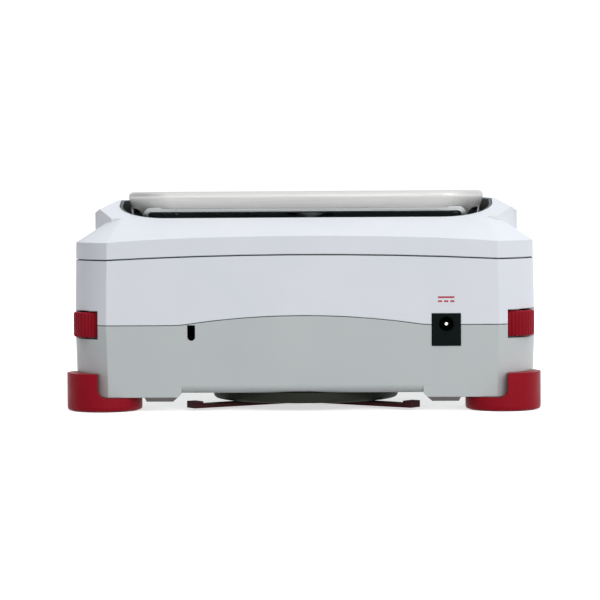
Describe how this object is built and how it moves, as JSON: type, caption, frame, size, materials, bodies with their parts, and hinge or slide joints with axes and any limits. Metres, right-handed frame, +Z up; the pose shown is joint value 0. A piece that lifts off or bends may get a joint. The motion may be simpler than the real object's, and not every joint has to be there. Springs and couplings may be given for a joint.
{
  "type": "laboratory balance",
  "caption": "Top-loading laboratory balance with a rectangular steel pan, levelling feet turned by thumbwheels, sloping key panel and rear power inlet.",
  "frame": {"origin": "centre of the footprint at the level of the feet's pads, with the feet wound right up", "axes": "+Z up, +Y towards the user's side with the panel, back with the inlet towards -Y, +X to the user's left"},
  "size_m": [0.2158, 0.3262, 0.0993],
  "materials": {
    "white_housing": "fine moulded grain",
    "grey_housing": "fine moulded grain",
    "red_plastic": "satin moulded",
    "dark_plastic": "moulded",
    "black_plastic": "moulded",
    "pan_steel": "fine brushed",
    "cast_aluminium": "as cast",
    "machined_aluminium": "milled",
    "zinc_steel": "zinc plated",
    "bright_pin": "plated",
    "black_rubber": "moulded",
    "gauge_foil": "film",
    "panel_film": "satin film",
    "window_glass": "clear",
    "display_glass": "display",
    "circuit_board": "solder mask",
    "level_glass": "filled vial",
    "ribbon_grey": "flat cable",
    "key_rubber": "keys"
  },
  "bodies": {
    "housing": {"lower_shell": "grey_housing", "middle_shell": "white_housing", "top_cover": "white_housing", "well_liner": "dark_plastic", "pan_support": "cast_aluminium", "pan_bumpers": "black_rubber", "pan_carrier": "machined_aluminium", "load_cell": "machined_aluminium", "load_cell_screws": "zinc_steel", "strain_gauges": "gauge_foil", "overload_stop": "zinc_steel", "base_chassis": "cast_aluminium", "wheel_washers": "zinc_steel", "dc_jack": "black_plastic", "dc_jack_pin": "bright_pin", "transport_lock_dish": "dark_plastic", "panel_overlay": "panel_film", "display_window": "window_glass", "lcd_module": "display_glass", "display_board": "circuit_board", "level_housing": "black_plastic", "level_vial": "level_glass", "main_board": "circuit_board", "housing_screws": "zinc_steel", "chassis_screws": "zinc_steel", "ribbon_cable": "ribbon_grey", "board_screws": "zinc_steel", "jack_board": "circuit_board"},
    "pan": {"pan": "pan_steel"},
    "lock_lever": {"transport_lock_lever": "red_plastic", "transport_lock_screw": "zinc_steel"},
    "thumbwheel_rear_left": {"thumbwheel_rear_left": "red_plastic"},
    "foot_rear_left": {"foot_rear_left": "red_plastic", "foot_pad_rear_left": "black_rubber", "foot_spindle_rear_left": "zinc_steel"},
    "thumbwheel_rear_right": {"thumbwheel_rear_right": "red_plastic"},
    "foot_rear_right": {"foot_rear_right": "red_plastic", "foot_pad_rear_right": "black_rubber", "foot_spindle_rear_right": "zinc_steel"},
    "thumbwheel_front_left": {"thumbwheel_front_left": "red_plastic"},
    "foot_front_left": {"foot_front_left": "red_plastic", "foot_pad_front_left": "black_rubber", "foot_spindle_front_left": "zinc_steel"},
    "thumbwheel_front_right": {"thumbwheel_front_right": "red_plastic"},
    "foot_front_right": {"foot_front_right": "red_plastic", "foot_pad_front_right": "black_rubber", "foot_spindle_front_right": "zinc_steel"},
    "key_power": {"key_power": "key_rubber"},
    "key_print": {"key_print": "key_rubber"},
    "key_unit": {"key_unit": "key_rubber"},
    "key_mode": {"key_mode": "key_rubber"},
    "key_zero": {"key_zero": "key_rubber"}
  },
  "joints": [
    {"name": "pan_lift", "type": "slide", "parent": "housing", "child": "pan", "axis": [0, 0, 1], "range_m": [0, 0.03]},
    {"name": "lock_turn", "type": "hinge", "parent": "housing", "child": "lock_lever", "pos_m": [0, -0.115, 0.003], "axis": [0, 0, 1], "range_deg": [0, 15]},
    {"name": "level_turn_rear_left", "type": "hinge", "parent": "housing", "child": "thumbwheel_rear_left", "pos_m": [0.0934, -0.1425, 0.039], "axis": [0, 0, 1], "range_deg": [0, 2165]},
    {"name": "foot_slide_rear_left", "type": "slide", "parent": "housing", "child": "foot_rear_left", "axis": [0, 0, -1], "range_m": [0, 0.006]},
    {"name": "level_turn_rear_right", "type": "hinge", "parent": "housing", "child": "thumbwheel_rear_right", "pos_m": [-0.0934, -0.1425, 0.039], "axis": [0, 0, 1], "range_deg": [0, 2165]},
    {"name": "foot_slide_rear_right", "type": "slide", "parent": "housing", "child": "foot_rear_right", "axis": [0, 0, -1], "range_m": [0, 0.006]},
    {"name": "level_turn_front_left", "type": "hinge", "parent": "housing", "child": "thumbwheel_front_left", "pos_m": [0.0934, 0.1425, 0.039], "axis": [0, 0, 1], "range_deg": [0, 2165]},
    {"name": "foot_slide_front_left", "type": "slide", "parent": "housing", "child": "foot_front_left", "axis": [0, 0, -1], "range_m": [0, 0.006]},
    {"name": "level_turn_front_right", "type": "hinge", "parent": "housing", "child": "thumbwheel_front_right", "pos_m": [-0.0934, 0.1425, 0.039], "axis": [0, 0, 1], "range_deg": [0, 2165]},
    {"name": "foot_slide_front_right", "type": "slide", "parent": "housing", "child": "foot_front_right", "axis": [0, 0, -1], "range_m": [0, 0.006]},
    {"name": "press_power", "type": "slide", "parent": "housing", "child": "key_power", "axis": [0, -0.379, -0.9254], "range_m": [0, 0.0008], "stiffness_N_per_m": 1200},
    {"name": "press_print", "type": "slide", "parent": "housing", "child": "key_print", "axis": [0, -0.379, -0.9254], "range_m": [0, 0.0008], "stiffness_N_per_m": 1200},
    {"name": "press_unit", "type": "slide", "parent": "housing", "child": "key_unit", "axis": [0, -0.379, -0.9254], "range_m": [0, 0.0008], "stiffness_N_per_m": 1200},
    {"name": "press_mode", "type": "slide", "parent": "housing", "child": "key_mode", "axis": [0, -0.379, -0.9254], "range_m": [0, 0.0008], "stiffness_N_per_m": 1200},
    {"name": "press_zero", "type": "slide", "parent": "housing", "child": "key_zero", "axis": [0, -0.379, -0.9254], "range_m": [0, 0.0008], "stiffness_N_per_m": 1200}
  ],
  "couplings": [
    {"joint": "level_turn_rear_left", "follows": "foot_slide_rear_left", "rad_per_m": 6283.2},
    {"joint": "level_turn_rear_right", "follows": "foot_slide_rear_right", "rad_per_m": 6283.2},
    {"joint": "level_turn_front_left", "follows": "foot_slide_front_left", "rad_per_m": 6283.2},
    {"joint": "level_turn_front_right", "follows": "foot_slide_front_right", "rad_per_m": 6283.2}
  ]
}
